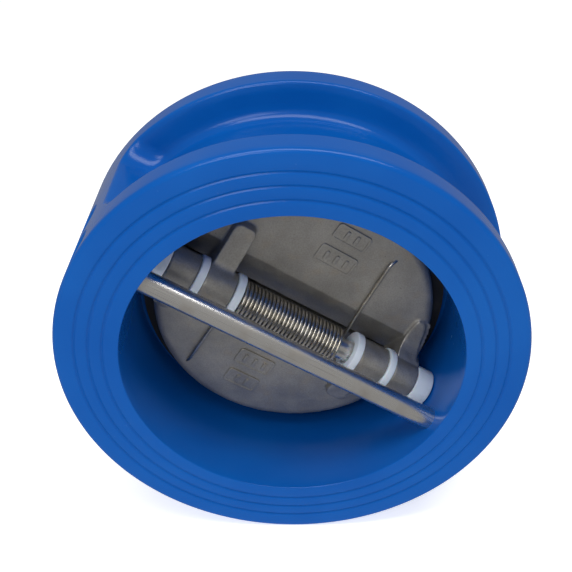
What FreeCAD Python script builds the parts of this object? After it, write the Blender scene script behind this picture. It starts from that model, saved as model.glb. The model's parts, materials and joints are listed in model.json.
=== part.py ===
import FreeCAD, Part
import os
import Sketcher

# Dual-plate wafer check valve, nominal size DN100, seen and built around its flow axis.
#
# Frame: the flow axis is Y. The outlet face is the low-Y face, the inlet face is the high-Y face,
# and the origin is the middle of the valve. Z is up. The two pins cross the bore at right angles to
# the flow, and the valve stands with its pins rolled about Y by pin_roll. Every piece is drawn with
# its pins along X, and its Placement rolls it into place.
#
# Depths are measured from the outlet face into the valve.

DIMENSIONS = [
    ("rim_diameter", 162.0, "outside diameter, inside the flange bolts"),
    ("face_to_face", 64.0, "length between the gasket faces"),
    ("flange_width", 11.0, "width of each rim"),
    ("floor_diameter", 137.0, "floor of the groove between the rims"),
    ("floor_fillet", 4.0, "casting radius at the groove floor"),
    ("rim_fillet", 1.2, "rounded rim edges"),
    ("boss_width", 30.0, "solid block that carries the pins"),
    ("outlet_bore", 118.0, "chamber that the plates swing in"),
    ("inlet_bore", 94.0, "port under the plates"),
    ("pin_roll", 31.8, "roll of the pins about the flow axis, in degrees"),
    ("hinge_depth", 25.1, "hinge pin axis"),
    ("stop_depth", 8.6, "stop pin axis"),
    ("pin_diameter", 8.0, "both pins"),
    ("pin_length", 139.0, "both pins"),
    ("pin_clearance", 0.05, "radial gap around the hinge pin"),
    ("seat_depth", 43.0, "rubber face that the plates close on"),
    ("seat_thickness", 3.0, "rubber under the plates"),
    ("seat_diameter", 114.0, "outside of the rubber ring"),
    ("bar_width", 12.0, "bar across the inlet port"),
    ("bar_height", 14.0, "bar across the inlet port, along the flow"),
    ("bar_nose", 4.0, "flat nose of the bar"),
    ("plate_diameter", 104.0, "two half discs"),
    ("plate_depth", 32.5, "flat outlet side of the plates"),
    ("plate_lift", 0.05, "gap between plate and rubber"),
    ("plate_split", 1.6, "gap between the straight edges"),
    ("plate_round", 3.0, "rounded outer edge of a plate"),
    ("bevel_width", 13.4, "where the slope for the spring starts"),
    ("bevel_drop", 6.6, "how far the slope falls"),
    ("hub_diameter", 15.0, "hinge eyes of the plates"),
    ("inner_hub_start", 26.6, "inner eye, near end"),
    ("inner_hub_end", 38.0, "inner eye, far end"),
    ("outer_hub_start", 41.1, "outer eye, near end"),
    ("outer_hub_end", 51.3, "outer eye, far end"),
    ("lug_near", 28.9, "inner lug, near side"),
    ("lug_far", 37.3, "inner lug, far side"),
    ("lug_length", 24.5, "reach of the inner lug from the hinge axis"),
    ("lug_tip", 3.9, "face of the inner lug at its tip, below the hinge axis"),
    ("lug_corner", 2.6, "rounded corners of the inner lug's tip"),
    ("arm_height", 1.2, "outer lug above the flat side of its plate"),
    ("arm_length", 22.8, "reach of the outer lug from the hinge axis"),
    ("washer_diameter", 16.6, "plate and spring bearings"),
    ("washer_thickness", 2.9, "plate and spring bearings"),
    ("bearing_diameter", 14.8, "body bearings"),
    ("bearing_end", 58.4, "body bearings, end at the chamber wall"),
    ("coil_start", -22.8, "left end of the spring coil"),
    ("coil_end", 18.0, "right end of the spring coil"),
    ("coil_radius", 6.5, "to the middle of the wire"),
    ("wire_diameter", 1.2, "spring wire"),
    ("spring_leg", 38.0, "spring leg from the hinge axis"),
    ("thread_diameter", 13.0, "tapped hole of a retainer"),
    ("thread_shoulder", 70.5, "bottom of a tapped hole from the flow axis"),
    ("gasket_thickness", 1.5, "retainer gasket"),
    ("retainer_end", 79.7, "outer face of a retainer"),
    ("socket_width", 6.0, "hexagon socket across its corners"),
    ("socket_depth", 4.0, "hexagon socket"),
]
FACE_RINGS = [73.8, 69.2, 64.5]  # radii of the gasket grooves in both faces
RING_WIDTH = 1.6
RING_DEPTH = 0.6
# hollow curves from an eye down to its lug, as (along the flow, across) from the hinge axis
LUG_FOOT = [(-1.4, 7.4), (-0.4, 7.7), (0.4, 8.4), (0.9, 9.3), (1.1, 10.3)]
ARM_FOOT = [(1.1, 8.2), (3.4, 10.0), (5.0, 11.8), (5.9, 14.0), (6.2, 16.5)]
# right side of the outer lug seen along the flow, from its root round the tip, as (along, across)
ARM_SIDE = [(49.5, 8.5), (48.5, 13.0), (47.2, 17.0), (46.0, 19.9), (45.0, 21.4), (44.2, 22.2)]
ARM_SIDE += [(43.2, 22.7), (42.4, 22.5), (41.5, 21.8), (41.1, 20.6)]
# cast panels on a plate: distance from the hinge axis, half width, half height, number of bars
PANELS = [(27.9, 7.6, 3.9, 3), (38.3, 6.8, 3.5, 2)]
PANEL_MIDDLE = 0.6
OUTSIDE = 95.0  # clear of everything, where a cut has to start or end in the open

doc = FreeCAD.newDocument("wafer_check_valve")
sheet = doc.addObject("Spreadsheet::Sheet", "dims")


class Size:
    """A length: its value in millimetres and the sheet expression that gives it."""

    def __init__(self, value, text):
        self.value = float(value)
        self.text = text

    def __add__(self, other):
        other = as_size(other)
        return Size(self.value + other.value, f"({self.text} + {other.text})")

    def __sub__(self, other):
        other = as_size(other)
        return Size(self.value - other.value, f"({self.text} - {other.text})")

    def __mul__(self, number):
        return Size(self.value * number, f"({self.text} * {number})")

    def __truediv__(self, number):
        return Size(self.value / number, f"({self.text} / {number})")

    def __neg__(self):
        return self * -1


def as_size(number):
    return number if isinstance(number, Size) else Size(number, f"({float(number)})")


def fill_sheet():
    """Writes one row per driving dimension: a note, and the value under its alias."""
    for row, (alias, value, note) in enumerate(DIMENSIONS, start=1):
        sheet.set(f"A{row}", note)
        sheet.set(f"B{row}", str(value))
        sheet.setAlias(f"B{row}", alias)
    doc.recompute()
    return {alias: Size(value, f"dims.{alias}") for alias, value, note in DIMENSIONS}


D = fill_sheet()
INLET = D["face_to_face"] / 2
OUTLET = -INLET


def at_depth(name):
    """Y of a depth that is measured from the outlet face."""
    return D[name] - INLET


HINGE = at_depth("hinge_depth")
STOP = at_depth("stop_depth")
SEAT = at_depth("seat_depth")
LEDGE = SEAT + D["seat_thickness"]
PLATE_FACE = at_depth("plate_depth")
PLATE_BACK = SEAT - D["plate_lift"]
PIN_RADIUS = D["pin_diameter"] / 2
PIN_HOLE = PIN_RADIUS + D["pin_clearance"]


# ---- drawing helpers -------------------------------------------------------------------------


def new_body(label, turn=0.0):
    """A body for one piece, rolled about the flow axis by pin_roll and a further turn."""
    body = doc.addObject("PartDesign::Body", label)
    body.Label = label
    body.Placement = FreeCAD.Placement(
        FreeCAD.Vector(), FreeCAD.Rotation(FreeCAD.Vector(0, 1, 0), D["pin_roll"].value + turn)
    )
    body.setExpression(".Placement.Rotation.Angle", (D["pin_roll"] + turn).text)
    return body


def sketch_on(body, plane, shift=(0, 0, 0)):
    """A sketch on one of the body's own origin planes, moved by shift in its own axes."""
    sketch = body.newObject("Sketcher::SketchObject", f"{body.Label}_sketch")
    support = next(f for f in body.Origin.OriginFeatures if f.Role == plane)
    sketch.AttachmentSupport = [(support, "")]
    sketch.MapMode = "FlatFace"
    for axis, size in zip("xyz", shift):
        sketch.setExpression(f".AttachmentOffset.Base.{axis}", as_size(size).text)
    return sketch


def bind(sketch, kind, edge, point, size):
    """Holds one coordinate of a sketch point at a size from the sketch's origin."""
    index = sketch.addConstraint(Sketcher.Constraint(kind, -1, 1, edge, point, size.value))
    sketch.setExpression(f"Constraints[{index}]", size.text)


def outline(sketch, corners):
    """A closed polygon whose corners are pairs of sizes from the sketch's origin."""
    corners = [(as_size(across), as_size(up)) for across, up in corners]
    points = [FreeCAD.Vector(across.value, up.value, 0) for across, up in corners]
    first = sketch.GeometryCount
    for start, end in zip(points, points[1:] + points[:1]):
        sketch.addGeometry(Part.LineSegment(start, end), False)
    for i, (across, up) in enumerate(corners):
        following = first + (i + 1) % len(corners)
        sketch.addConstraint(Sketcher.Constraint("Coincident", first + i, 2, following, 1))
        bind(sketch, "DistanceX", first + i, 1, across)
        bind(sketch, "DistanceY", first + i, 1, up)


def circle(sketch, across, up, radius):
    across, up, radius = as_size(across), as_size(up), as_size(radius)
    centre = FreeCAD.Vector(across.value, up.value, 0)
    edge = sketch.addGeometry(Part.Circle(centre, FreeCAD.Vector(0, 0, 1), radius.value), False)
    bind(sketch, "DistanceX", edge, 3, across)
    bind(sketch, "DistanceY", edge, 3, up)
    index = sketch.addConstraint(Sketcher.Constraint("Radius", edge, radius.value))
    sketch.setExpression(f"Constraints[{index}]", radius.text)


def settle(body, feature, cut, before):
    """Recomputes, and makes sure that the feature added or removed material as it should."""
    doc.recompute()
    after = feature.Shape.Volume
    if (after >= before - 1e-6) if cut else (after <= before + 1e-6):
        raise ValueError(f"{body.Label}: {feature.Name} changed the volume {before} to {after}")
    return feature


def volume_now(body):
    return body.Shape.Volume if body.Tip is not None and not body.Shape.isNull() else 0.0


def revolve(body, sketch, axis="V_Axis", cut=False):
    """Turns a sketch a full circle about its own vertical or horizontal axis."""
    before = volume_now(body)
    kind = "PartDesign::Groove" if cut else "PartDesign::Revolution"
    feature = body.newObject(kind, f"{body.Label}_turned")
    feature.Profile = sketch
    feature.ReferenceAxis = (sketch, [axis])
    feature.Angle = 360
    return settle(body, feature, cut, before)


def extrude(body, sketch, length, cut=False, back=False):
    """Pads or pockets a sketch along its normal, or against it where back is set."""
    before = volume_now(body)
    feature = body.newObject("PartDesign::Pocket" if cut else "PartDesign::Pad", f"{body.Label}_block")
    feature.Profile = sketch
    feature.setExpression("Length", as_size(length).text)
    feature.Reversed = back != cut
    return settle(body, feature, cut, before)


def block(body, low, high, corners, cut=False):
    """Extrudes corners, pairs of Y and Z, from X = low to X = high."""
    low, high = as_size(low), as_size(high)
    sketch = sketch_on(body, "YZ_Plane", (0, 0, low))
    outline(sketch, corners)
    return extrude(body, sketch, high - low, cut)


def rounds(body, low, high, places, cut=False):
    """Extrudes circles, each Y, Z and radius, from X = low to X = high."""
    low, high = as_size(low), as_size(high)
    sketch = sketch_on(body, "YZ_Plane", (0, 0, low))
    for place in places:
        circle(sketch, *place)
    return extrude(body, sketch, high - low, cut)


def fillet(body, radius, wanted):
    """Rounds the edges of the body that wanted accepts."""
    base = body.Tip
    edges = [f"Edge{i}" for i, edge in enumerate(base.Shape.Edges, start=1) if wanted(edge)]
    feature = body.newObject("PartDesign::Fillet", f"{body.Label}_fillet")
    feature.Base = (base, edges)
    feature.setExpression("Radius", radius.text)
    doc.recompute()
    return feature


def far(point):
    """Distance of a point from the flow axis."""
    return (point.x**2 + point.z**2) ** 0.5


def edge_at(edge, radius=None, depth=None, near=0.05):
    """Whether every end and the middle of an edge lie at a radius, at a Y, or both."""
    points = [vertex.Point for vertex in edge.Vertexes]
    points.append(edge.valueAt((edge.FirstParameter + edge.LastParameter) / 2))
    on_radius = radius is None or all(abs(far(p) - radius.value) < near for p in points)
    on_depth = depth is None or all(abs(p.y - depth.value) < near for p in points)
    return on_radius and on_depth


def turned(label, centre, corners):
    """A piece turned about the pin axis at Y = centre. Corners are pairs of X and radius."""
    body = new_body(label)
    sketch = sketch_on(body, "XY_Plane", (0, centre, 0))
    outline(sketch, corners)
    revolve(body, sketch, "H_Axis")
    return body


def tube(low, high, inner, outer, chamfer=0.3):
    """Half section of a bush with its outer corners broken."""
    return [
        (low, inner),
        (high, inner),
        (high, outer - chamfer),
        (high - chamfer, outer),
        (low + chamfer, outer),
        (low, outer - chamfer),
    ]


# ---- the pieces ------------------------------------------------------------------------------


def make_valve_body():
    """Cast ring: two rims, the groove between them, two pin bosses, the chamber and the port."""
    body = new_body("valve_body")
    rim, floor = D["rim_diameter"] / 2, D["floor_diameter"] / 2
    chamber, port = D["outlet_bore"] / 2, D["inlet_bore"] / 2
    low_rim, high_rim = OUTLET + D["flange_width"], INLET - D["flange_width"]
    half_boss = D["boss_width"] / 2

    sketch = sketch_on(body, "XY_Plane")
    outline(
        sketch,
        [
            (chamber, OUTLET),
            (rim, OUTLET),
            (rim, low_rim),
            (floor, low_rim),
            (floor, high_rim),
            (rim, high_rim),
            (rim, INLET),
            (port, INLET),
            (port, LEDGE),
            (chamber, LEDGE),
        ],
    )
    revolve(body, sketch)

    # the bosses fill the groove at both ends of the pins, then are turned down to the rim
    boss = [(low_rim - 1, -half_boss), (high_rim + 1, -half_boss)]
    boss += [(y, -z) for y, z in reversed(boss)]
    for low, high in ((chamber + 3, rim + 4), (-rim - 4, -chamber - 3)):
        block(body, low, high, boss)
    sketch = sketch_on(body, "XY_Plane")
    outline(sketch, [(rim, OUTLET - 1), (OUTSIDE, OUTLET - 1), (OUTSIDE, INLET + 1), (rim, INLET + 1)])
    revolve(body, sketch, cut=True)

    # casting radii in the two groove pockets, then the rims' edges
    def pocket_edge(edge):
        points = [vertex.Point for vertex in edge.Vertexes]
        along = all(abs(abs(p.z) - half_boss.value) < 0.05 for p in points)
        inside = all(floor.value - 0.1 < far(p) < rim.value + 0.1 for p in points)
        on_mouth = edge_at(edge, rim)
        within = all(abs(p.y) < high_rim.value + 0.1 for p in points)
        on_floor = edge_at(edge, floor)
        return within and not on_mouth and (on_floor or (along and inside))

    fillet(body, D["floor_fillet"], pocket_edge)
    fillet(body, D["rim_fillet"], lambda edge: edge_at(edge, rim))

    # gasket grooves in both faces
    sketch = sketch_on(body, "XY_Plane")
    for face, inward in ((OUTLET, 1), (INLET, -1)):
        for radius in FACE_RINGS:
            outline(
                sketch,
                [
                    (radius - RING_WIDTH / 2, face),
                    (radius + RING_WIDTH / 2, face),
                    (radius + RING_WIDTH / 4, face + RING_DEPTH * inward),
                    (radius - RING_WIDTH / 4, face + RING_DEPTH * inward),
                ],
            )
    revolve(body, sketch, cut=True)

    # bar across the port, under the straight edges of the plates
    half_bar, half_nose = D["bar_width"] / 2, D["bar_nose"] / 2
    tip = LEDGE + D["bar_height"]
    side = [(LEDGE, -half_bar), (tip - D["bar_nose"], -half_bar), (tip, -half_nose)]
    side += [(y, -z) for y, z in reversed(side)]
    block(body, -port - 2, port + 2, side)

    # pin holes right through, and a tapped hole for each retainer
    rounds(body, -OUTSIDE, OUTSIDE, [(HINGE, 0, PIN_HOLE), (STOP, 0, PIN_HOLE)], cut=True)
    taps = [(HINGE, 0, D["thread_diameter"] / 2), (STOP, 0, D["thread_diameter"] / 2)]
    rounds(body, D["thread_shoulder"], OUTSIDE, taps, cut=True)
    rounds(body, -OUTSIDE, -D["thread_shoulder"], taps, cut=True)
    return body


def make_seat():
    """Rubber ring with a bar across it, bonded to the ledge and the bar of the body."""
    body = new_body("rubber_seat")
    inner, outer = D["inlet_bore"] / 2, D["seat_diameter"] / 2
    sketch = sketch_on(body, "XY_Plane")
    outline(sketch, [(inner, SEAT), (outer, SEAT), (outer, LEDGE), (inner, LEDGE)])
    revolve(body, sketch)
    half_bar = D["bar_width"] / 2
    corners = [(SEAT, -half_bar), (LEDGE, -half_bar), (LEDGE, half_bar), (SEAT, half_bar)]
    block(body, -inner - 2, inner + 2, corners)
    return body


def make_plate(label, turn):
    """Half disc with two hinge eyes. Both plates are the same casting, half a turn apart."""
    body = new_body(label, turn)
    disc, half_split = D["plate_diameter"] / 2, D["plate_split"] / 2
    hub = D["hub_diameter"] / 2
    lug_tip = HINGE + D["lug_tip"]
    slope_end = PLATE_FACE + D["bevel_drop"]

    # a full disc, rounded on its outlet side, loses its lower half and the slope for the spring
    sketch = sketch_on(body, "XY_Plane")
    outline(sketch, [(0, PLATE_FACE), (disc, PLATE_FACE), (disc, PLATE_BACK), (0, PLATE_BACK)])
    revolve(body, sketch)
    fillet(body, D["plate_round"], lambda edge: edge_at(edge, disc, PLATE_FACE))
    away = [
        (PLATE_FACE - 1, -OUTSIDE),
        (PLATE_BACK + 1, -OUTSIDE),
        (PLATE_BACK + 1, half_split),
        (slope_end, half_split),
        (PLATE_FACE, D["bevel_width"]),
        (PLATE_FACE - 1, D["bevel_width"]),
    ]
    block(body, -OUTSIDE, OUTSIDE, away, cut=True)

    # the eyes stand on lugs. The inner lug is broad and meets the stop pin when the plate is open,
    # the outer lug is a low rib that follows the edge of the disc
    root = slope_end + 1.5
    reach = D["lug_length"]
    arm_face = PLATE_FACE - D["arm_height"]
    foot = [(root, half_split + 3), (root, half_split), (HINGE, half_split)]
    lug = foot + [(HINGE + y, z) for y, z in LUG_FOOT]
    lug += [(lug_tip, reach), (PLATE_FACE + 1, reach + 0.5)]
    lug.append((PLATE_FACE + 1, D["bevel_width"] + 1))
    block(body, -D["lug_far"], -D["lug_near"], lug)
    arm = foot + [(HINGE + y, z) for y, z in ARM_FOOT]
    arm += [(arm_face, D["arm_length"] - 1), (PLATE_FACE + 0.2, D["arm_length"])]
    arm.append((PLATE_FACE + 0.2, D["bevel_width"] + 1))
    block(body, D["outer_hub_start"], D["outer_hub_end"], arm)

    def inner_tip_edge(edge):
        ends = [vertex.Point for vertex in edge.Vertexes]
        upright = abs(ends[0].y - ends[-1].y) > 2 and abs(ends[0].x - ends[-1].x) < 0.05
        return upright and all(p.x < 0 and p.z > reach.value - 0.05 for p in ends)

    fillet(body, D["lug_corner"], inner_tip_edge)
    sketch = sketch_on(body, "XZ_Plane", (0, 0, -PLATE_FACE))
    clear, beyond = D["outer_hub_end"] + 2, D["arm_length"] + 2
    near = D["outer_hub_start"] - 1
    around = [(clear, beyond), (clear, ARM_SIDE[0][1])] + ARM_SIDE
    outline(sketch, around + [(near, ARM_SIDE[-1][1]), (near, beyond)])
    extrude(body, sketch, PLATE_FACE - HINGE, cut=True)
    sketch = sketch_on(body, "XY_Plane")
    outline(
        sketch,
        [(disc, HINGE - hub - 2), (OUTSIDE, HINGE - hub - 2), (OUTSIDE, INLET), (disc, INLET)],
    )
    revolve(body, sketch, cut=True)
    rounds(body, -D["inner_hub_end"], -D["inner_hub_start"], [(HINGE, 0, hub)])
    rounds(body, D["outer_hub_start"], D["outer_hub_end"], [(HINGE, 0, hub)])
    rounds(body, -OUTSIDE, OUTSIDE, [(HINGE, 0, PIN_HOLE)], cut=True)

    # two raised cast panels with plain bars on them
    for panel in PANELS:
        cast_panel(body, *panel)
    return body


def cast_panel(body, centre, half_width, half_height, bars):
    """Raised panel with cut corners, carrying a row of small plain bars."""
    panel_height, corner = 0.4, 1.2
    bar_length, bar_width, bar_height, bar_step = 4.2, 1.2, 0.4, 4.3
    sketch = sketch_on(body, "XZ_Plane", (0, 0, -PLATE_FACE))
    left, right = PANEL_MIDDLE - half_width, PANEL_MIDDLE + half_width
    low, high = centre - half_height, centre + half_height
    outline(
        sketch,
        [
            (left + corner, low),
            (right - corner, low),
            (right, low + corner),
            (right, high - corner),
            (right - corner, high),
            (left + corner, high),
            (left, high - corner),
            (left, low + corner),
        ],
    )
    extrude(body, sketch, panel_height)
    sketch = sketch_on(body, "XZ_Plane", (0, 0, -PLATE_FACE + panel_height))
    low, high = centre - bar_length / 2, centre + bar_length / 2
    for i in range(bars):
        middle = PANEL_MIDDLE + (i - (bars - 1) / 2) * bar_step
        left, right = middle - bar_width / 2, middle + bar_width / 2
        outline(sketch, [(left, low), (right, low), (right, high), (left, high)])
    extrude(body, sketch, bar_height)


def make_pin(label, centre):
    end, chamfer = D["pin_length"] / 2, 0.6
    radius = PIN_RADIUS
    return turned(
        label,
        centre,
        [
            (-end, 0),
            (end, 0),
            (end, radius - chamfer),
            (end - chamfer, radius),
            (-end + chamfer, radius),
            (-end, radius - chamfer),
        ],
    )


def mirrored(corners, side):
    """Corners as they are on the right, or turned over to the left."""
    return [(as_size(x) * side, radius) for x, radius in corners]


def make_bearings(side, word):
    """White bushes on the hinge pin: body, plate and spring bearing of one side."""
    washer = D["washer_diameter"] / 2
    gap = 0.1
    outer_start = D["outer_hub_start"] - gap - D["washer_thickness"]
    spring_start = D["inner_hub_start"] - gap - D["washer_thickness"]
    spans = [
        ("body_bearing", D["outer_hub_end"] + gap, D["bearing_end"], D["bearing_diameter"] / 2),
        ("plate_bearing", outer_start, outer_start + D["washer_thickness"], washer),
        ("spring_bearing", spring_start, spring_start + D["washer_thickness"], washer),
    ]
    for name, low, high, radius in spans:
        turned(f"{name}_{word}", HINGE, mirrored(tube(low, high, PIN_HOLE, radius), side))


def make_spring():
    """Closing spring in outline: a ribbed sleeve for the coil, and its two legs."""
    body = new_body("closing_spring")
    half_wire = D["wire_diameter"] / 2
    inner, outer = D["coil_radius"] - D["wire_diameter"], D["coil_radius"] + half_wire
    turns = 27
    pitch = (D["coil_end"] - D["coil_start"]) / turns
    corners = [(D["coil_end"], inner), (D["coil_start"], inner)]
    for i in range(turns):
        start = D["coil_start"] + pitch * i
        corners += [(start, outer - half_wire), (start + pitch / 2, outer)]
    corners.append((D["coil_end"], outer - half_wire))
    sketch = sketch_on(body, "XY_Plane", (0, HINGE, 0))
    outline(sketch, corners)
    revolve(body, sketch, "H_Axis")
    # each leg leaves the coil on its inlet side and lies over its plate
    leg = HINGE + D["coil_radius"] - 0.1
    places = [
        (D["coil_end"] - D["wire_diameter"], False),
        (D["coil_start"] + D["wire_diameter"], True),
    ]
    for across, back in places:
        sketch = sketch_on(body, "XY_Plane")
        circle(sketch, across, leg, half_wire * 0.9)
        extrude(body, sketch, D["spring_leg"], back=back)
    return body


def make_retainer(kind, centre, side, word):
    """Threaded plug with a hexagon socket, and the gasket under it, at one end of a pin."""
    radius = D["thread_diameter"] / 2 - 0.05
    start = D["thread_shoulder"]
    under = start + D["gasket_thickness"]
    ring = [(start, PIN_HOLE), (under, PIN_HOLE), (under, radius), (start, radius)]
    turned(f"{kind}_gasket_{word}", centre, mirrored(ring, side))

    end, crest = D["retainer_end"], 0.5
    corners = [(under, 0), (end, 0), (end, radius - crest)]
    threads = 5
    pitch = (end - under) / threads
    for i in range(threads):
        corners.append((end - pitch * (i + 0.5), radius))
        corners.append((end - pitch * (i + 1), radius - crest))
    body = turned(f"{kind}_retainer_{word}", centre, mirrored(corners, side))
    half, flat = D["socket_width"] / 2, D["socket_width"] * (3**0.5 / 4)
    hexagon = [(half, 0), (half / 2, flat), (-half / 2, flat)]
    hexagon += [(-half, 0), (-half / 2, -flat), (half / 2, -flat)]
    hexagon = [(as_size(y) + centre, z) for y, z in hexagon]
    bottom = end - D["socket_depth"]
    low, high = (bottom, end + 1) if side > 0 else (-end - 1, -bottom)
    block(body, low, high, hexagon, cut=True)


def build():
    make_valve_body()
    make_seat()
    make_plate("plate_upper", 0.0)
    make_plate("plate_lower", 180.0)
    make_pin("hinge_pin", HINGE)
    make_pin("stop_pin", STOP)
    make_spring()
    for side, word in ((1, "right"), (-1, "left")):
        make_bearings(side, word)
        for kind, centre in (("hinge_pin", HINGE), ("stop_pin", STOP)):
            make_retainer(kind, centre, side, word)


def export():
    """Checks every object, then writes one file for each piece."""
    doc.recompute()
    for item in doc.Objects:
        if "Invalid" in item.State or "Error" in item.State:
            raise ValueError(f"{item.Label} failed: {item.State}")
    pieces = [item for item in doc.Objects if item.TypeId == "PartDesign::Body"]
    for piece in pieces:
        shape = piece.Shape
        if shape.isNull() or not shape.isValid() or len(shape.Solids) != 1:
            raise ValueError(f"{piece.Label} is not one valid solid")
    os.makedirs("parts", exist_ok=True)
    for piece in pieces:
        piece.Shape.exportStep(os.path.join("parts", f"{piece.Label}.step"))
        box = piece.Shape.BoundBox
        sizes = f"{box.XLength:.1f} x {box.YLength:.1f} x {box.ZLength:.1f} mm"
        print(f"{piece.Label}: {sizes}, {piece.Shape.Volume / 1000:.2f} cm3")


build()
export()
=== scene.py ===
import json
import math
import bmesh
import bpy
import numpy as np
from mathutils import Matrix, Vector


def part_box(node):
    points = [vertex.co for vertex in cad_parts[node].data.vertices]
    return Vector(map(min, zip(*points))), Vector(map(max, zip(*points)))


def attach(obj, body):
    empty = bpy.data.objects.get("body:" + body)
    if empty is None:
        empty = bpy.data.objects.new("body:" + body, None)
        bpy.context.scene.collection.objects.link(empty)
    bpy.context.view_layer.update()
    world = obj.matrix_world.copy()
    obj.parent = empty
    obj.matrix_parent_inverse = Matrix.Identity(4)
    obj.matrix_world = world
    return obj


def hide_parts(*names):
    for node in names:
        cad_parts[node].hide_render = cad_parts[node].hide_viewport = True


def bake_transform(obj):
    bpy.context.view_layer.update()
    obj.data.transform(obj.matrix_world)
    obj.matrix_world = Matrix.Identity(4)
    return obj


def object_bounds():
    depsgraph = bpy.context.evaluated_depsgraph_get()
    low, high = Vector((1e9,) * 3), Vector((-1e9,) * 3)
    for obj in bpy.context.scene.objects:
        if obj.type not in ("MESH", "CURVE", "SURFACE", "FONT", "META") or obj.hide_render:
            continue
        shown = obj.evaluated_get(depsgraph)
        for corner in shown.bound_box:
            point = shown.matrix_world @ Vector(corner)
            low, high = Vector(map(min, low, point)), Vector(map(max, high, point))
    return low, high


# Dual-plate wafer check valve in its stand-up pose. Lengths are in metres. The flow axis is Y, with
# the outlet face at low Y, and the two pins cross the bore rolled about Y. A point in the pins' own
# directions is (along the pins, along the flow, across both).

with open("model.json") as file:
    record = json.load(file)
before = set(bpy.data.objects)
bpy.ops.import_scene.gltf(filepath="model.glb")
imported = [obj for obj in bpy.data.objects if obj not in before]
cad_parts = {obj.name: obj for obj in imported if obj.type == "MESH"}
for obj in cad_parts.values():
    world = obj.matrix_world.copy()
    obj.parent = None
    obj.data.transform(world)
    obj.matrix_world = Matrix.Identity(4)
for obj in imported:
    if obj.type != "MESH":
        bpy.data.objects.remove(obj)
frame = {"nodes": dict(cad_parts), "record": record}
cad_low, cad_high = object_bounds()

MM = 0.001
hinge = next(j for j in frame["record"]["behaviour"]["joints"] if j["name"] == "upper_plate_hinge")
ALONG = np.array(hinge["axis"], float)
FLOW = np.array((0.0, 1.0, 0.0))
ACROSS = np.cross(ALONG, FLOW)
TO_ROW = np.array((ALONG, FLOW, ACROSS))
HINGE_Y = hinge["pos_m"][1]
PIN_ROLL = math.atan2(-ALONG[2], ALONG[0])

OUTLET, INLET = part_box("valve_body")[0][1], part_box("valve_body")[1][1]
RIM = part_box("valve_body")[1][2]
SEAT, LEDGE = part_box("rubber_seat")[0][1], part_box("rubber_seat")[1][1]
STOP_Y = (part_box("stop_pin")[0][1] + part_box("stop_pin")[1][1]) / 2

CHAMBER = 59.0 * MM  # radius of the bore that the plates swing in
PORT = 47.0 * MM  # radius of the inlet port
GROOVE_FLOOR = 68.5 * MM  # radius of the groove between the rims
FLANGE = 11.0 * MM  # width of a rim
HALF_BOSS = 15.0 * MM  # half width of the block that carries the pins
FACE_RINGS = (73.8 * MM, 69.2 * MM, 64.5 * MM)  # radii of the gasket grooves


# ---- surfaces --------------------------------------------------------------------------------


def to_row(points):
    """Points given along the pins, along the flow and across both, in the row frame."""
    return np.asarray(points, float) @ TO_ROW


def arc(centre, radius, start, end, steps):
    """Points on a circle about centre, from one angle to another in degrees."""
    angle = np.radians(np.linspace(start, end, steps + 1))
    return np.stack((centre[0] + radius * np.cos(angle), centre[1] + radius * np.sin(angle)), axis=1)


def soften(corners, steps=6):
    """An outline with rounded corners. A corner is (a, b, radius), and its arc is the rational
    quadratic curve between the two tangent points, weighted so that it is a true circle."""
    points = []
    for i, (a, b, radius) in enumerate(corners):
        here = np.array((a, b))
        if radius == 0:
            points.append(here[None])
            continue
        back = np.array(corners[i - 1][:2]) - here
        ahead = np.array(corners[(i + 1) % len(corners)][:2]) - here
        back, ahead = back / np.linalg.norm(back), ahead / np.linalg.norm(ahead)
        half = math.acos(np.clip(back @ ahead, -1, 1)) / 2
        reach = radius / math.tan(half)
        s = np.linspace(0, 1, steps + 1)[:, None]
        weights = (1 - s) ** 2, 2 * math.sin(half) * s * (1 - s), s**2
        top = weights[0] * (here + back * reach) + weights[1] * here + weights[2] * (here + ahead * reach)
        points.append(top / sum(weights))
    return np.vstack(points)


def grid(points, close_rows=False, close_columns=True):
    """Vertices and quads of a grid of points with shape (rows, columns, 3)."""
    rows, columns = points.shape[:2]
    index = np.arange(rows * columns).reshape(rows, columns)
    if close_rows:
        index = np.vstack((index, index[:1]))
    if close_columns:
        index = np.hstack((index, index[:, :1]))
    quads = np.stack((index[:-1, :-1], index[1:, :-1], index[1:, 1:], index[:-1, 1:]), axis=-1)
    return points.reshape(-1, 3), quads.reshape(-1, 4)


def closed_tube(rings):
    """A grid of rings whose two ends are closed by shrinking them to their middles."""
    first = np.repeat(rings[:1].mean(axis=1, keepdims=True), rings.shape[1], axis=1)
    last = np.repeat(rings[-1:].mean(axis=1, keepdims=True), rings.shape[1], axis=1)
    return grid(np.concatenate((first, rings, last)))


def turned(profile, centre_y, steps=96):
    """A surface of revolution about the pin direction at Y = centre_y. The profile is rows of
    (distance along the pins, radius), and each row becomes one circle."""
    angle = np.linspace(0, 2 * np.pi, steps, endpoint=False)
    along = np.repeat(profile[:, :1], steps, axis=1)
    flow = centre_y + profile[:, 1:] * np.cos(angle)
    across = profile[:, 1:] * np.sin(angle)
    return to_row(np.stack((along, flow, across), axis=-1))


def tidy_mesh(mesh, crease=32.0, turn_out=True):
    """Merges double points, turns the faces outwards and smooths all but the sharp edges."""
    shape = bmesh.new()
    shape.from_mesh(mesh)
    bmesh.ops.remove_doubles(shape, verts=shape.verts, dist=1e-7)
    bmesh.ops.dissolve_degenerate(shape, edges=shape.edges, dist=1e-8)
    if turn_out:
        bmesh.ops.recalc_face_normals(shape, faces=shape.faces)
    shape.to_mesh(mesh)
    shape.free()
    mesh.polygons.foreach_set("use_smooth", np.ones(len(mesh.polygons), bool))
    mesh.set_sharp_from_angle(angle=math.radians(crease))


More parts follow.
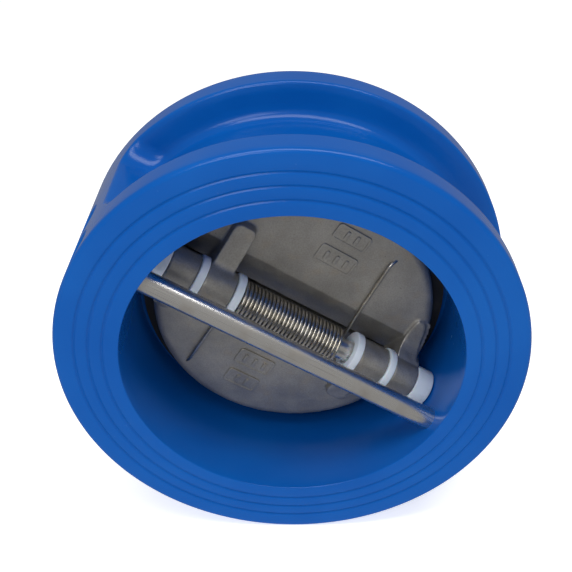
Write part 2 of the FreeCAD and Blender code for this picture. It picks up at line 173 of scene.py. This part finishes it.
def add_object(name, mesh, material):
    """A mesh in the scene under a name, with one material."""
    piece = bpy.data.objects.new(name, mesh)
    bpy.context.scene.collection.objects.link(piece)
    mesh.materials.clear()
    mesh.materials.append(material)
    return piece


def solid(name, shells, material, crease=32.0):
    """One object from several closed shells, each a pair of vertices and quads."""
    points, faces, count = [], [], 0
    for vertices, quads in shells:
        points.append(vertices)
        faces.append(quads + count)
        count += len(vertices)
    mesh = bpy.data.meshes.new(name)
    mesh.from_pydata(np.vstack(points).tolist(), [], np.vstack(faces).tolist())
    tidy_mesh(mesh, crease)
    return add_object(name, mesh, material)


def apply_modifiers(piece):
    """Replaces a piece's mesh by what its modifiers make of it."""
    evaluated = piece.evaluated_get(bpy.context.evaluated_depsgraph_get())
    mesh = bpy.data.meshes.new_from_object(evaluated)
    piece.modifiers.clear()
    piece.data = mesh


def waves(points, seed, count, shortest, longest):
    """Gentle unevenness from -1 to 1: a sum of sine waves in random directions, with wavelengths
    between shortest and longest."""
    random = np.random.default_rng(seed)
    directions = random.normal(size=(count, 3))
    directions /= np.linalg.norm(directions, axis=1)[:, None]
    lengths = random.uniform(shortest, longest, count)
    phases = random.uniform(0, 2 * np.pi, count)
    total = np.sin(points @ (directions / lengths[:, None]).T * 2 * np.pi + phases).sum(axis=-1)
    return total / math.sqrt(count)


# ---- shaders ---------------------------------------------------------------------------------


class Value:
    """A number that a shader works out. Arithmetic on it adds Math nodes."""

    def __init__(self, shader, socket):
        self.shader = shader
        self.socket = socket

    def math(self, operation, first, second):
        return self.shader.add("Math", {"operation": operation}, {0: first, 1: second})

    def __add__(self, other):
        return self.math("ADD", self, other)

    __radd__ = __add__

    def __sub__(self, other):
        return self.math("SUBTRACT", self, other)

    def __rsub__(self, other):
        return self.math("SUBTRACT", other, self)

    def __mul__(self, other):
        return self.math("MULTIPLY", self, other)

    __rmul__ = __mul__


class Shader:
    """A material and the nodes that make it."""

    def __init__(self, name, turned_with_pins=False):
        self.material = bpy.data.materials.new(name)
        self.material.use_nodes = True
        self.tree = self.material.node_tree
        self.tree.nodes.clear()
        self.place = self.add("TexCoord", output="Object")
        if turned_with_pins:
            self.place = self.add("Mapping", {}, {"Vector": self.place, "Rotation": (0, -PIN_ROLL, 0)})

    def add(self, kind, settings=None, sockets=None, output=0):
        """One node: its settings first, then the values or links of its sockets."""
        node = self.tree.nodes.new("ShaderNode" + kind)
        for key, value in (settings or {}).items():
            setattr(node, key, value)
        for key, value in (sockets or {}).items():
            if isinstance(value, Value):
                self.tree.links.new(value.socket, node.inputs[key])
            else:
                node.inputs[key].default_value = value
        return Value(self, node.outputs[output])

    def stretched(self, scale):
        """The place with each axis multiplied, so that a small number draws a pattern out."""
        return self.add("Mapping", {}, {"Vector": self.place, "Scale": scale})

    def noise(self, size, detail=2.0, roughness=0.5, place=None):
        """Noise from 0 to 1 whose blobs are about size across."""
        sockets = {
            "Vector": place or self.place,
            "Scale": 1 / size,
            "Detail": detail,
            "Roughness": roughness,
        }
        return self.add("TexNoise", {}, sockets)

    def spots(self, size, radius):
        """1 at the middle of scattered spots and 0 outside them; cells are size across."""
        sockets = {"Vector": self.place, "Scale": 1 / size, "Randomness": 1.0}
        distance = self.add("TexVoronoi", {"feature": "F1"}, sockets, output="Distance")
        return self.between(distance, radius / size, 0.0)

    def between(self, value, low, high):
        """0 where value is low, 1 where it is high, and smooth in between."""
        sockets = {"Value": value, 1: low, 2: high}
        return self.add("MapRange", {"interpolation_type": "SMOOTHSTEP"}, sockets)

    def blend(self, factor, first, second):
        """The first colour where factor is 0, the second where it is 1."""
        first, second = [c if isinstance(c, Value) else (*c, 1.0) for c in (first, second)]
        sockets = {"Factor": factor, 6: first, 7: second}
        return self.add("Mix", {"data_type": "RGBA"}, sockets, output=2)

    def bump(self, height, depth, normal=None):
        """Relief of the given depth where height goes from 0 to 1."""
        sockets = {"Height": height, "Distance": depth, "Strength": 1.0}
        if normal is not None:
            sockets["Normal"] = normal
        return self.add("Bump", {}, sockets, output="Normal")

    def finish(self, **sockets):
        """The surface itself. Keywords are the shader's sockets with _ for a space."""
        sockets = {key.replace("_", " "): value for key, value in sockets.items()}
        surface = self.add("BsdfPrincipled", {}, sockets)
        output = self.tree.nodes.new("ShaderNodeOutputMaterial")
        self.tree.links.new(surface.socket, output.inputs["Surface"])
        return self.material


def blue_epoxy():
    """Thick glossy epoxy: orange peel, slow waves where it ran, dust under it, faint rubs."""
    shader = Shader("blue_epoxy")
    cloud = shader.noise(45 * MM, detail=3)
    colour = shader.blend(shader.between(cloud, 0.3, 0.7), (0.0014, 0.076, 0.34), (0.0026, 0.090, 0.375))
    dust = shader.spots(7 * MM, 0.22 * MM)
    colour = shader.blend(dust * 0.5, colour, (0.05, 0.2, 0.55))
    rubs = shader.between(shader.noise(9 * MM, detail=6, roughness=0.75), 0.6, 0.75)
    peel = shader.noise(1.6 * MM, detail=1)
    runs = shader.noise(11 * MM, detail=2)
    normal = shader.bump(runs, 0.16 * MM)
    normal = shader.bump(peel, 0.02 * MM, normal)
    normal = shader.bump(dust, 0.06 * MM, normal)
    return shader.finish(
        Base_Color=colour,
        Roughness=0.16 + rubs * 0.12 + cloud * 0.06,
        Normal=normal,
        Specular_IOR_Level=0.2,
    )


def cast_stainless():
    """Investment-cast stainless steel: fine grain, pickling stains and pits."""
    shader = Shader("cast_stainless")
    stain = shader.between(shader.noise(16 * MM, detail=5, roughness=0.62), 0.32, 0.68)
    colour = shader.blend(stain, (0.37, 0.355, 0.325), (0.49, 0.47, 0.43))
    warm = shader.between(shader.noise(7 * MM, detail=4), 0.52, 0.72)
    colour = shader.blend(warm * 0.45, colour, (0.48, 0.41, 0.32))
    pits = shader.spots(4.2 * MM, 0.28 * MM)
    colour = shader.blend(pits * 0.7, colour, (0.07, 0.065, 0.06))
    grain = shader.noise(0.55 * MM, detail=3, roughness=0.6)
    skin = shader.noise(2.6 * MM, detail=2)
    colour = shader.blend(shader.between(grain, 0.3, 0.75) * 0.35, colour, (0.20, 0.19, 0.18))
    normal = shader.bump(skin, 0.10 * MM)
    normal = shader.bump(grain, 0.05 * MM, normal)
    normal = shader.bump(1 - pits, 0.10 * MM, normal)
    return shader.finish(
        Base_Color=colour,
        Roughness=0.42 + stain * 0.12 + grain * 0.08,
        Metallic=0.82,
        Normal=normal,
    )


def pin_steel():
    """Centreless-ground bar: drawn streaks along it, fine scratches round it, a few stains."""
    shader = Shader("pin_steel", turned_with_pins=True)
    drawn = shader.noise(0.5 * MM, detail=3, place=shader.stretched((0.02, 1, 1)))
    stain = shader.between(shader.noise(8 * MM, detail=3), 0.45, 0.8)
    colour = shader.blend(stain * 0.5, (0.76, 0.74, 0.71), (0.52, 0.46, 0.38))
    colour = shader.blend(shader.between(drawn, 0.55, 0.8) * 0.5, colour, (0.34, 0.32, 0.30))
    rings = shader.noise(0.25 * MM, detail=2, place=shader.stretched((1, 0.05, 0.05)))
    normal = shader.bump(drawn, 0.008 * MM)
    normal = shader.bump(rings, 0.003 * MM, normal)
    return shader.finish(
        Base_Color=colour, Roughness=0.24 + stain * 0.1 + drawn * 0.06, Metallic=1.0, Normal=normal
    )


def spring_steel():
    """Drawn stainless wire, straw coloured, lighter in patches, with darker marks."""
    shader = Shader("spring_steel", turned_with_pins=True)
    tint = shader.between(shader.noise(5 * MM, detail=4), 0.35, 0.7)
    colour = shader.blend(tint, (0.50, 0.46, 0.38), (0.62, 0.59, 0.53))
    marks = shader.noise(0.35 * MM, detail=3, roughness=0.7)
    colour = shader.blend(shader.between(marks, 0.6, 0.8) * 0.5, colour, (0.25, 0.23, 0.20))
    return shader.finish(
        Base_Color=colour,
        Roughness=0.2 + marks * 0.18,
        Metallic=1.0,
        Normal=shader.bump(marks, 0.012 * MM),
    )


def white_ptfe():
    """Machined white plastic: lathe rings round the pin, faint grey smears."""
    shader = Shader("white_ptfe", turned_with_pins=True)
    smear = shader.between(shader.noise(4 * MM, detail=5, roughness=0.65), 0.52, 0.8)
    colour = shader.blend(smear * 0.5, (0.70, 0.77, 0.84), (0.46, 0.50, 0.54))
    rings = shader.noise(0.3 * MM, detail=1, place=shader.stretched((1, 0.03, 0.03)))
    grain = shader.noise(0.8 * MM, detail=3)
    normal = shader.bump(rings, 0.02 * MM)
    normal = shader.bump(grain, 0.02 * MM, normal)
    return shader.finish(
        Base_Color=colour,
        Roughness=0.38 + smear * 0.15,
        Normal=normal,
        Subsurface_Weight=0.12,
        Subsurface_Scale=1.0 * MM,
        Specular_IOR_Level=0.35,
    )


def seat_rubber():
    """Black moulded rubber: fine grain, grey bloom in patches."""
    shader = Shader("seat_rubber")
    bloom = shader.between(shader.noise(9 * MM, detail=5, roughness=0.65), 0.45, 0.75)
    colour = shader.blend(bloom * 0.6, (0.012, 0.012, 0.013), (0.045, 0.045, 0.047))
    grain = shader.noise(0.5 * MM, detail=3)
    return shader.finish(
        Base_Color=colour, Roughness=0.55 + bloom * 0.2, Normal=shader.bump(grain, 0.03 * MM)
    )


def plug_steel():
    """Turned plug: rings about the pin direction, dark oil in patches."""
    shader = Shader("plug_steel", turned_with_pins=True)
    rings = shader.noise(0.22 * MM, detail=2, place=shader.stretched((1, 0.02, 0.02)))
    oil = shader.between(shader.noise(3 * MM, detail=5, roughness=0.7), 0.45, 0.75)
    colour = shader.blend(oil * 0.7, (0.50, 0.49, 0.48), (0.22, 0.20, 0.18))
    scratches = shader.noise(0.5 * MM, detail=4, roughness=0.7)
    normal = shader.bump(rings, 0.02 * MM)
    normal = shader.bump(scratches, 0.012 * MM, normal)
    return shader.finish(Base_Color=colour, Roughness=0.3 + oil * 0.2, Metallic=1.0, Normal=normal)


def gasket_fibre():
    """Pressed fibre: flecks of light thread in a grey-green sheet."""
    shader = Shader("gasket_fibre")
    flecks = shader.between(shader.noise(0.6 * MM, detail=4, roughness=0.8), 0.55, 0.7)
    colour = shader.blend(flecks * 0.6, (0.13, 0.15, 0.12), (0.35, 0.36, 0.30))
    return shader.finish(Base_Color=colour, Roughness=0.8, Normal=shader.bump(flecks, 0.03 * MM))


MATERIALS = {
    "blue_epoxy": blue_epoxy(),
    "cast_stainless": cast_stainless(),
    "pin_steel": pin_steel(),
    "spring_steel": spring_steel(),
    "white_ptfe": white_ptfe(),
    "seat_rubber": seat_rubber(),
    "plug_steel": plug_steel(),
    "gasket_fibre": gasket_fibre(),
}
SLOTS = {part["node"]: part["material_slot"] for part in frame["record"]["subparts"]}


def stand_for(piece, node, body="housing"):
    """The piece joins the body and takes the place of a CAD node, which is hidden."""
    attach(piece, body)
    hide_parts(node)


# ---- body casting ----------------------------------------------------------------------------


def face_rows(inner, outer, face, inward):
    """Rows of (radius, y) across a gasket face, dipped at each gasket groove. A dip is a squared
    cosine, because the paint has half filled the groove."""
    half_width, depth = 0.8 * MM, 0.45 * MM
    radii = [np.linspace(inner, outer, 9)]
    radii += [ring + half_width * np.linspace(-1, 1, 9) for ring in FACE_RINGS]
    radii = np.unique(np.round(np.concatenate(radii), 7))
    y = np.full_like(radii, face)
    for ring in FACE_RINGS:
        off = np.clip((radii - ring) / half_width, -1, 1)
        y += inward * depth * np.cos(off * np.pi / 2) ** 2
    return np.stack((radii, y), axis=1)


def groove_depth(along_rim, y):
    """Depth of the groove below the rims. along_rim is the distance across the pins and y the
    distance along the flow. The pocket is a rectangle with round corners: the distance inwards
    from its outline goes through a curve with a rounded brink, a steep wall and a round foot."""
    corner, full = 8.5 * MM, RIM - GROOVE_FLOOR
    wobble = 0.22 * MM * waves(np.stack((along_rim, y, 0 * y), axis=-1), 4, 9, 14 * MM, 40 * MM)
    from_boss = corner - (along_rim - HALF_BOSS)
    from_flank = corner - (INLET - FLANGE - np.abs(y)) - wobble * 0.6
    outside = np.hypot(np.maximum(from_boss, 0), np.maximum(from_flank, 0))
    inward = corner - outside - np.minimum(np.maximum(from_boss, from_flank), 0)
    wall = soften([(-9 * MM, 0, 0), (0, 0, 1.3 * MM), (1.5 * MM, full, 4.5 * MM), (60 * MM, full, 0)], 10)
    return np.interp(inward, wall[:, 0], wall[:, 1])


def casting_shell():
    """The ring: a closed outline in radius and y, turned about the flow axis. On its outer side
    the radius is the rim's, less the depth of the groove there."""
    brink, edge = 0.5 * MM, 1.7 * MM  # rounding of the bore's mouths and of the rims
    flat_end = INLET - edge
    # rings crowd on the groove's steep walls
    steep = np.arange(13.0, 22.6, 0.34) * MM
    outer_y = np.concatenate((-steep[::-1], np.linspace(-12, 12, 9) * MM, steep))
    outer_y = np.concatenate(([-flat_end + 2 * MM], outer_y, [flat_end - 2 * MM]))
    chamber_y = np.linspace(LEDGE, OUTLET + brink, 12)[1:-1]
    loop = np.vstack(
        (
            arc((CHAMBER + brink, OUTLET + brink), brink, 180, 270, 5),
            face_rows(CHAMBER + brink, RIM - edge, OUTLET, 1)[1:-1],
            arc((RIM - edge, OUTLET + edge), edge, 270, 360, 6),
            np.stack((np.full_like(outer_y, RIM), outer_y), axis=1),
            arc((RIM - edge, INLET - edge), edge, 0, 90, 6),
            face_rows(PORT + brink, RIM - edge, INLET, -1)[-2:0:-1],
            arc((PORT + brink, INLET - brink), brink, 90, 180, 5),
            [(PORT, LEDGE + 9 * MM), (PORT, LEDGE), (CHAMBER, LEDGE)],
            np.stack((np.full_like(chamber_y, CHAMBER), chamber_y), axis=1),
        )
    )

    # columns crowd where the pockets end at the bosses
    crowded = np.concatenate(([0.0, 4, 8, 11.5, 13], np.arange(13.8, 25, 0.36), [26, 27.5, 29.5, 32]))
    quarter = np.degrees(np.arcsin(crowded * MM / RIM))
    quarter = np.concatenate((quarter, np.arange(quarter[-1] + 1.2, 89.6, 1.25), [90.0]))
    half = np.concatenate((quarter, 180 - quarter[-2::-1]))
    angle = np.radians(np.concatenate((half, 180 + half[1:-1])))

    radius = np.repeat(loop[:, :1], len(angle), axis=1)
    y = np.repeat(loop[:, 1:], len(angle), axis=1)
    off_pins = np.abs(RIM * np.sin(angle))[None] + 0 * y
    on_rim = (loop[:, 0] > RIM - 1e-9)[:, None]
    radius = radius - on_rim * groove_depth(off_pins, y)
    # the pockets' end walls stand square to the pins, not along a radius
    square = np.arcsin(np.clip(off_pins / radius, -1, 1)) - np.arcsin(np.clip(off_pins / RIM, -1, 1))
    fade = np.clip((46 * MM - off_pins) / (20 * MM), 0, 1)
    shift = square * on_rim * fade**2 * (3 - 2 * fade)
    turn = angle + shift * np.sign(np.sin(2 * angle))
    points = np.stack((radius * np.cos(turn), y, radius * np.sin(turn)), axis=-1)
    return grid(to_row(points), close_rows=True)


def port_bar():
    """Bar across the port: a nosed section carried along the pins, which flares into the wall."""
    half, tip = 6.0 * MM, LEDGE + 14 * MM
    nose = soften(
        [
            (LEDGE, -half, 0),
            (tip - 4 * MM, -half, 2 * MM),
            (tip, -2 * MM, 1.5 * MM),
            (tip, 2 * MM, 1.5 * MM),
            (tip - 4 * MM, half, 2 * MM),
            (LEDGE, half, 0),
        ]
    )
    reach = PORT + 1.5 * MM
    along = np.linspace(-reach, reach, 61)[:, None]
    flare = 1 + 0.55 * np.clip((np.abs(along) - (PORT - 9 * MM)) / (10 * MM), 0, 1) ** 2
    section = np.broadcast_arrays(along, nose[:, 0][None], nose[:, 1][None] * flare)
    return closed_tube(to_row(np.stack(section, axis=-1)))


def plug_holes():
    """The four tapped holes as solid cutters, turned about the pin direction. Each has a mouth
    countersunk at 45 degrees."""
    radius, countersink = 6.5 * MM, 1.3 * MM
    bottom, mouth, beyond = 70.5 * MM, 80.3 * MM, 95 * MM
    profile = np.array(
        [
            (bottom, 0),
            (bottom, radius),
            (mouth, radius),
            (mouth + countersink, radius + countersink),
            (beyond, radius + countersink),
            (beyond, 0),
        ]
    )
    shells = []
    for centre in (HINGE_Y, STOP_Y):
        for side in (1, -1):
            shells.append(grid(turned(profile * (side, 1), centre, steps=64)))
    return shells


def make_casting():
    """The painted ring joined to its port bar, less the four tapped holes."""
    blue = MATERIALS["blue_epoxy"]
    body = solid("body_casting", [casting_shell()], blue)
    bar = solid("port_bar", [port_bar()], blue)
    cutter = solid("plug_holes", plug_holes(), blue)
    for operation, tool in (("UNION", bar), ("DIFFERENCE", cutter)):
        boolean = body.modifiers.new(operation.lower(), "BOOLEAN")
        boolean.operation = operation
        boolean.object = tool
        boolean.solver = "EXACT"
    apply_modifiers(body)
    for tool in (bar, cutter):
        bpy.data.objects.remove(tool)
    tidy_mesh(body.data, crease=36, turn_out=False)
    stand_for(body, "valve_body")


# ---- plates ----------------------------------------------------------------------------------


PLATE_FACE = 0.5 * MM  # y of the plates' flat side
PANEL_MIDDLE = 0.6 * MM  # middle of the raised panels along the pins
PANEL_ZONE = (11 * MM, 21 * MM, 44 * MM)  # half width, and range across the pins, that holds them
PANEL_DEPTH = 1.5 * MM  # how far off the flat side the solid's own panels may stand
# distance from the hinge axis, half width, half height and number of bars
PANELS = ((27.9 * MM, 7.6 * MM, 3.9 * MM, 3), (38.3 * MM, 6.8 * MM, 3.5 * MM, 2))
BAR_STEP = 4.0 * MM


def make_plate(node, body, half_turn, seed):
    """Cast plate: the CAD solid remeshed finely and softened as a casting is, its plain panels
    pressed flat for sharper ones, then made a little uneven by waves along its normals."""
    grain, unevenness = 0.5 * MM, 0.045 * MM
    mesh = frame["nodes"][node].data.copy()
    tidy_mesh(mesh, turn_out=False)
    piece = add_object(node.replace("plate", "cast_plate"), mesh, MATERIALS["cast_stainless"])
    remesh = piece.modifiers.new("remesh", "REMESH")
    remesh.mode = "VOXEL"
    remesh.voxel_size = grain
    soft = piece.modifiers.new("soften", "SMOOTH")
    soft.factor, soft.iterations = 0.5, 3
    apply_modifiers(piece)
    mesh = piece.data
    points = np.empty(len(mesh.vertices) * 3)
    normals = np.empty_like(points)
    mesh.vertices.foreach_get("co", points)
    mesh.vertex_normals.foreach_get("vector", normals)
    points, normals = points.reshape(-1, 3), normals.reshape(-1, 3)
    bumps = waves(points, seed, count=26, shortest=2.5 * MM, longest=11 * MM)
    points += normals * (unevenness * bumps)[:, None]
    local = points @ TO_ROW.T
    across, up = local[:, 0] * half_turn, local[:, 2] * half_turn
    half_width, low, high = PANEL_ZONE
    on_panels = (np.abs(across) < half_width) & (up > low) & (up < high)
    on_panels &= (local[:, 1] < PLATE_FACE) & (local[:, 1] > PLATE_FACE - PANEL_DEPTH)
    local[on_panels, 1] = PLATE_FACE
    points = local @ TO_ROW
    mesh.vertices.foreach_set("co", points.ravel())
    mesh.materials.clear()
    mesh.materials.append(MATERIALS["cast_stainless"])
    mesh.polygons.foreach_set("use_smooth", np.ones(len(mesh.polygons), bool))
    stand_for(piece, node, body)
    cast_marks(node, body, half_turn)


def raised_shape(half_width, half_height, corner, rows):
    """Closed rings for a raised shape on a plate's flat side: a rounded rectangle, drawn again for
    each (inset, height) of rows, which together are the section of its edge."""
    rings = []
    for inset, height in rows:
        side, end = half_width - inset, half_height - inset
        radius = max(corner - inset, 0.12 * MM)
        corners = [(-side, -end), (side, -end), (side, end), (-side, end)]
        ring = soften([(*point, radius) for point in corners])
        rings.append(np.stack((ring[:, 0], np.full(len(ring), -height), ring[:, 1]), axis=1))
    return np.stack(rings)


def edge_section(height, shoulder, hollow=None):
    """(inset, height) pairs of a raised edge with rounded shoulders. Its middle is level, or sinks
    to hollow behind a raised border."""
    rows = [(0, -0.4 * MM), (0, height - shoulder), (0.3 * shoulder, height - 0.3 * shoulder)]
    rows.append((shoulder, height))
    if hollow is not None:
        wide = 0.75 * MM
        rows += [(wide, height), (wide + 0.7 * shoulder, height - 0.3 * shoulder)]
        rows.append((wide + shoulder, hollow))
    return rows


def cast_marks(plate, body, half_turn):
    """Two raised panels with borders, each with a row of equal plain bars on it."""
    shells = []

    def put(across, up, rings):
        local = rings * (half_turn, 1, half_turn) + (across * half_turn, PLATE_FACE, up * half_turn)
        shells.append(closed_tube(to_row(local)))

    border = edge_section(0.55 * MM, 0.18 * MM, hollow=0.3 * MM)
    bar_edge = edge_section(0.75 * MM, 0.2 * MM)
    bar = raised_shape(0.7 * MM, 1.9 * MM, 0.5 * MM, bar_edge)
    for up, half_width, half_height, bars in PANELS:
        put(PANEL_MIDDLE, up, raised_shape(half_width, half_height, 1.5 * MM, border))
        for i in range(bars):
            put(PANEL_MIDDLE + (i - (bars - 1) / 2) * BAR_STEP, up, bar)
    piece = solid(f"{plate}_panels", shells, MATERIALS["cast_stainless"], crease=50)
    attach(piece, body)


# ---- pins, bearings and seat -----------------------------------------------------------------


def extent(node):
    """(low end, high end, largest radius, centre y) of a node turned about the pin direction."""
    mesh = frame["nodes"][node].data
    points = np.empty(len(mesh.vertices) * 3)
    mesh.vertices.foreach_get("co", points)
    local = points.reshape(-1, 3) @ TO_ROW.T
    centre = (local[:, 1].min() + local[:, 1].max()) / 2
    radius = np.hypot(local[:, 1] - centre, local[:, 2]).max()
    return local[:, 0].min(), local[:, 0].max(), radius, centre


def make_pin(node):
    """Ground bar with chamfered ends, whose edges are slightly rounded."""
    low, high, radius, centre = extent(node)
    chamfer, round_off = 0.7 * MM, 0.15 * MM
    ends = [
        (low, 0, 0),
        (low, radius - chamfer, round_off),
        (low + chamfer, radius, round_off),
        (high - chamfer, radius, round_off),
        (high, radius - chamfer, round_off),
        (high, 0, 0),
    ]
    piece = solid(node + "_bar", [grid(turned(soften(ends, 3), centre))], MATERIALS["pin_steel"])
    stand_for(piece, node)


def make_bearing(node):
    """Plastic bush with rounded rims and a bore that opens out at both ends."""
    low, high, radius, centre = extent(node)
    bore, mouth, rim = 4.05 * MM, 0.9 * MM, 0.45 * MM
    corners = [
        (low, bore + mouth, 0.15 * MM),
        (low, radius, rim),
        (high, radius, rim),
        (high, bore + mouth, 0.15 * MM),
        (high - mouth, bore, 0.2 * MM),
        (low + mouth, bore, 0.2 * MM),
    ]
    ring = grid(turned(soften(corners, 4), centre), close_rows=True)
    piece = solid(node + "_bush", [ring], MATERIALS["white_ptfe"])
    stand_for(piece, node)


# ---- closing spring --------------------------------------------------------------------------

COIL_START, COIL_END = -22.8 * MM, 18.0 * MM  # ends of the coil along the pins
COIL_RADIUS, WIRE = 6.5 * MM, 0.62 * MM  # radius of the coil's middle line, and of the wire
COIL_TURNS = 27
# the right and the left leg: where each starts and ends along the pins, and its reach across them
LEG_START = (21.2 * MM, -22.7 * MM)
LEG_END = (18.2 * MM, -23.1 * MM)
LEG_REACH = (35.2 * MM, 37.5 * MM)


def spring_half(side):
    """Half of the coil and one leg, as a tube along a path. The coil is a helix about the hinge
    axis, whose last half turn opens out. It ends on the inlet side, where the wire runs on in a
    straight leg across the plate, and the tip of the leg dips into the plate."""
    start = (COIL_START + COIL_END) / 2
    end = COIL_END if side > 0 else COIL_START
    leg_start, leg_end, reach = (ends[0 if side > 0 else 1] for ends in (LEG_START, LEG_END, LEG_REACH))
    pitch, steps_per_turn = (COIL_END - COIL_START) / COIL_TURNS, 26
    steps = int(round(abs(end - start) / pitch * steps_per_turn))
    along = np.linspace(start, end, steps + 1)
    angle = 2 * np.pi * (along - end) / pitch
    opening = np.clip(1 - np.abs(angle) / (1.2 * np.pi), 0, 1) ** 2
    along = along + (leg_start - end) * opening
    coil = np.stack((along, HINGE_Y + COIL_RADIUS * np.cos(angle), COIL_RADIUS * np.sin(angle)), axis=1)

    # the leg's middle line is a straight run, then a bend that turns outwards and down
    run = np.linspace(0.02, 1, 12)[:, None]
    top = HINGE_Y + COIL_RADIUS
    straight = (leg_start, top, 0) + run * (leg_end - leg_start, 0, reach * side)
    bend = np.linspace(0.1, 1, 9)[:, None]
    outwards = 1.4 * MM if side > 0 else 0
    tip = straight[-1] + bend * (0, 0, 3.8 * MM * side) + bend**2 * (outwards, 1.5 * MM, 0)
    path = np.vstack((coil, straight, tip))

    # rings stand square to the path, with the pin direction as their sideways reference
    ahead = np.gradient(path, axis=0)
    ahead /= np.linalg.norm(ahead, axis=1)[:, None]
    sideways = np.array((1.0, 0.0, 0.0)) - ahead[:, :1] * ahead
    sideways /= np.linalg.norm(sideways, axis=1)[:, None]
    upwards = np.cross(ahead, sideways)
    turn = np.linspace(0, 2 * np.pi, 10, endpoint=False)[None, :, None]
    rings = path[:, None] + WIRE * (np.cos(turn) * sideways[:, None] + np.sin(turn) * upwards[:, None])
    return closed_tube(to_row(rings))


def make_spring():
    """Both halves. Each runs from the middle of the coil to its leg's plate."""
    halves = ((1, "right", "upper_plate", COIL_END), (-1, "left", "lower_plate", COIL_START))
    for side, word, plate, end in halves:
        half = solid(f"spring_{word}_half", [spring_half(side)], MATERIALS["spring_steel"], crease=60)
        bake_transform(half)
        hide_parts("closing_spring")


# ---- assembly --------------------------------------------------------------------------------

make_casting()
make_plate("plate_upper", "upper_plate", half_turn=1, seed=11)
make_plate("plate_lower", "lower_plate", half_turn=-1, seed=12)
make_spring()
for pin in ("hinge_pin", "stop_pin"):
    make_pin(pin)
for node in frame["nodes"]:
    if "bearing" in node:
        make_bearing(node)
for name, node in frame["nodes"].items():
    if "retainer" in name or "gasket" in name or name == "rubber_seat":
        node.data.materials.clear()
        node.data.materials.append(MATERIALS[SLOTS[name]])


# ---- floor, light and camera -----------------------------------------------------------------


def make_floor():
    """Plain pale floor at the foot of the rims."""
    shader = Shader("pale_floor")
    mottle = shader.noise(60 * MM, detail=3)
    colour = shader.blend(mottle, (0.90, 0.90, 0.90), (0.93, 0.93, 0.93))
    material = shader.finish(
        Base_Color=colour,
        Roughness=0.9,
        Specular_IOR_Level=0.1,
        Emission_Color=(1.0, 1.0, 1.0, 1.0),
        Emission_Strength=0.6,
    )
    half, gap = 9.0, 0.1 * MM
    corners = np.array([[(-half, -half), (half, -half)], [(-half, half), (half, half)]])
    points = np.concatenate((corners, np.full((2, 2, 1), cad_low[2] - gap)), axis=-1)
    mesh = bpy.data.meshes.new("floor")
    vertices, quads = grid(points, close_columns=False)
    mesh.from_pydata(vertices.tolist(), [], quads.tolist())
    floor = add_object("floor", mesh, material)
    floor.visible_glossy = False  # the steel mirrors the pale surround, not the floor


def area_light(name, place, size, power, aim=(0, 0, 0)):
    """A soft rectangle of light at a place, turned towards aim."""
    data = bpy.data.lights.new(name, "AREA")
    data.shape = "RECTANGLE"
    data.size, data.size_y = size
    data.energy = power
    light = bpy.data.objects.new(name, data)
    light.location = place
    light.rotation_euler = (Vector(aim) - Vector(place)).to_track_quat("-Z", "Y").to_euler()
    bpy.context.scene.collection.objects.link(light)


def make_studio():
    """Two soft lights and an even pale surround."""
    area_light("overhead", (0.05, -0.2, 0.68), (0.8, 0.26), 4.4)
    area_light("front_high", (-0.3, -0.7, 0.6), (0.4, 0.3), 2)
    world = bpy.data.worlds.new("studio")
    world.use_nodes = True
    world.node_tree.nodes["Background"].inputs["Color"].default_value = (1, 1, 1, 1)
    world.node_tree.nodes["Background"].inputs["Strength"].default_value = 0.3
    bpy.context.scene.world = world
    bpy.context.scene.view_settings.view_transform = "Standard"


def make_camera():
    """Camera above and in front of the outlet face, looking down into the bore."""
    data = bpy.data.cameras.new("camera")
    camera = bpy.data.objects.new("camera", data)
    bpy.context.scene.collection.objects.link(camera)
    bpy.context.scene.camera = camera
    camera.location = (0.0034, -0.2564, 0.1851)
    camera.rotation_euler = (math.radians(90 - 36.18), math.radians(-0.22), math.radians(-0.29))
    data.sensor_width = 36.0
    data.lens = 53.6
    data.shift_x = -0.0385
    data.shift_y = 0.0577
    data.clip_start = 0.01


make_floor()
make_studio()
make_camera()
